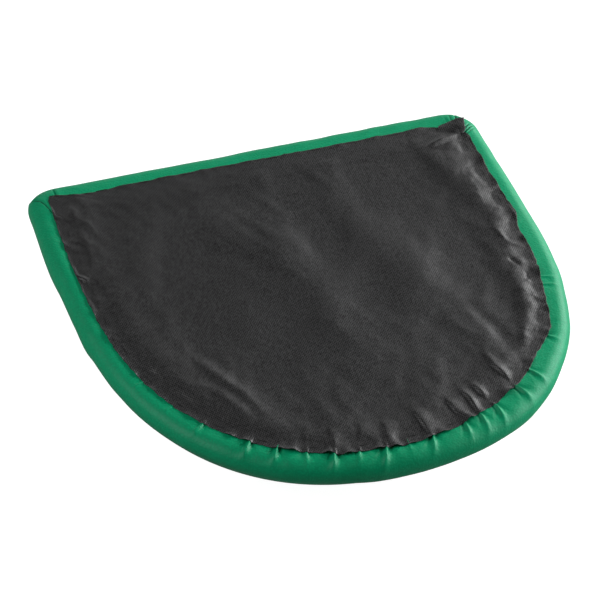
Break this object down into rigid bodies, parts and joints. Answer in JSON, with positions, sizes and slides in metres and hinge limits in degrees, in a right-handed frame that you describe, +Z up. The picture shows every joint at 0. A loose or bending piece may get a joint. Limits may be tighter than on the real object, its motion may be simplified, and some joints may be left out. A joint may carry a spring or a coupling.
{
  "type": "upholstered seat pad",
  "caption": "Upholstered seat pad for a chair or stool: padded plywood board, green vinyl cover stapled underneath, black dust cover, straight rear edge, rounded front.",
  "frame": {"origin": "centre of the underside, on the plane of the dust cover that rests on the chair's frame", "axes": "+Z up out of the sitting face, +Y towards the straight rear edge, -Y towards the rounded front, +X to the right as seen from the front of the pad"},
  "size_m": [0.432, 0.425, 0.057],
  "materials": {
    "plywood": "raw rotary-cut veneer, unsealed",
    "foam": "open-cell polyurethane foam, cut faces",
    "wadding": "bonded polyester fibre",
    "vinyl": "grained upholstery vinyl, satin",
    "staple_wire": "galvanised flat wire",
    "nonwoven": "spunbonded non-woven cloth, point-bonded",
    "black_staple_wire": "black-coated flat wire"
  },
  "bodies": {
    "root": {"seat_board": "plywood", "foam_block": "foam", "fibre_wadding": "wadding", "vinyl_cover": "vinyl", "cover_staples": "staple_wire", "dust_cover": "nonwoven", "dust_cover_staples": "black_staple_wire"}
  },
  "joints": []
}
